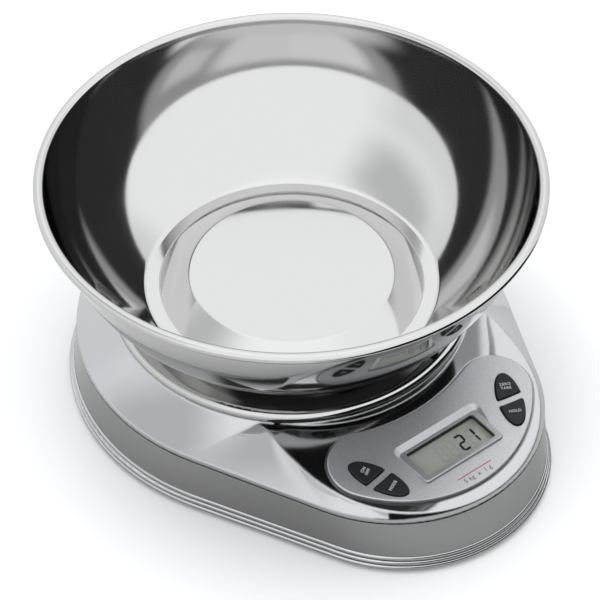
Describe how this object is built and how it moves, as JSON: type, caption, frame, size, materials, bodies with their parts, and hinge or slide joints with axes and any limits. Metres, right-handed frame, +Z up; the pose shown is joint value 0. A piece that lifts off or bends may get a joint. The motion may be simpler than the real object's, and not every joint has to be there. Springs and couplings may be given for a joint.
{
  "type": "kitchen scale",
  "caption": "Electronic kitchen scale with a lift-off polished bowl on a round weighing platform, a keyhole-shaped chromed base and a sloping panel with display and keys.",
  "frame": {"origin": "on the floor, under the middle of the whole object's box in plan", "axes": "+Z up, the display faces -Y, +X to the right of someone reading the display; the bowl's axis is at y = +17.25 mm"},
  "size_m": [0.23, 0.2644, 0.119],
  "materials": {
    "polished_steel": "mirror polished stainless steel, spun",
    "tray_steel": "polished stainless steel sheet",
    "deck_chrome": "bright chrome plating on moulded ABS",
    "skirt_chrome": "chrome plating on moulded ABS, slightly satin",
    "chrome_trim": "bright chrome plating on moulded ABS",
    "satin_panel": "fine metallic silver paint on moulded ABS, satin",
    "black_key": "matt silicone rubber",
    "clear_lens": "clear acrylic, gloss",
    "display_glass": "reflective liquid-crystal cell, grey-green",
    "tinned_pins": "tinned spring wire",
    "black_plastic": "matt moulded",
    "grey_plastic": "fine-textured moulded ABS",
    "carrier_plastic": "moulded, matt",
    "aluminium": "milled",
    "steel_screw": "zinc plated",
    "foot_rubber": "matt",
    "gauge_silicone": "soft sealant, satin",
    "dome_silicone": "translucent silicone, satin",
    "board_green": "solder mask on glass-fibre laminate",
    "component_black": "epoxy",
    "battery_body": "printed steel jacket",
    "lead_insulation": "PVC insulation"
  },
  "bodies": {
    "base": {"base_pan": "grey_plastic", "base_trim": "chrome_trim", "skirt_band": "skirt_chrome", "top_shell": "deck_chrome", "rubber_feet": "foot_rubber", "base_screws": "steel_screw", "load_cell": "aluminium", "gauge_covers": "gauge_silicone", "cell_spacer_lower": "aluminium", "cell_screws_lower": "steel_screw", "control_panel": "satin_panel", "lcd_lens": "clear_lens", "lcd_holder": "black_plastic", "lcd_glass": "display_glass", "lcd_pins": "tinned_pins", "dome_pad": "dome_silicone", "circuit_board": "board_green", "board_components": "component_black", "board_screws": "steel_screw", "battery": "battery_body", "battery_snap": "black_plastic", "battery_lead": "lead_insulation", "cell_lead": "lead_insulation"},
    "platter": {"weighing_tray": "tray_steel", "tray_carrier": "carrier_plastic", "cell_spacer_upper": "aluminium", "cell_screws_upper": "steel_screw"},
    "bowl": {"bowl": "polished_steel"},
    "key_on_off": {"button_on_off": "black_key"},
    "key_mode": {"button_mode": "black_key"},
    "key_zero": {"button_zero": "black_key"},
    "key_hold": {"button_hold": "black_key"},
    "battery_cover": {"battery_door": "grey_plastic"}
  },
  "joints": [
    {"name": "platter_sink", "type": "slide", "parent": "base", "child": "platter", "axis": [0, 0, 1], "range_m": [-0.0005, 0], "stiffness_N_per_m": 98000, "deforming": ["load_cell"]},
    {"name": "bowl_lift", "type": "slide", "parent": "platter", "child": "bowl", "axis": [0, 0, 1], "range_m": [0, 0.12]},
    {"name": "on_off_press", "type": "slide", "parent": "base", "child": "key_on_off", "axis": [0, -0.1625, 0.9867], "range_m": [-0.0008, 0], "stiffness_N_per_m": 1900, "springref_m": 0.0004, "deforming": ["dome_pad"]},
    {"name": "mode_press", "type": "slide", "parent": "base", "child": "key_mode", "axis": [0, -0.1625, 0.9867], "range_m": [-0.0008, 0], "stiffness_N_per_m": 1900, "springref_m": 0.0004, "deforming": ["dome_pad"]},
    {"name": "zero_press", "type": "slide", "parent": "base", "child": "key_zero", "axis": [0, -0.1625, 0.9867], "range_m": [-0.0008, 0], "stiffness_N_per_m": 1900, "springref_m": 0.0004, "deforming": ["dome_pad"]},
    {"name": "hold_press", "type": "slide", "parent": "base", "child": "key_hold", "axis": [0, -0.1625, 0.9867], "range_m": [-0.0008, 0], "stiffness_N_per_m": 1900, "springref_m": 0.0004, "deforming": ["dome_pad"]},
    {"name": "battery_door_hinge", "type": "hinge", "parent": "base", "child": "battery_cover", "pos_m": [0, -0.02585, 0.0039], "axis": [1, 0, 0], "range_deg": [0, 95]}
  ]
}
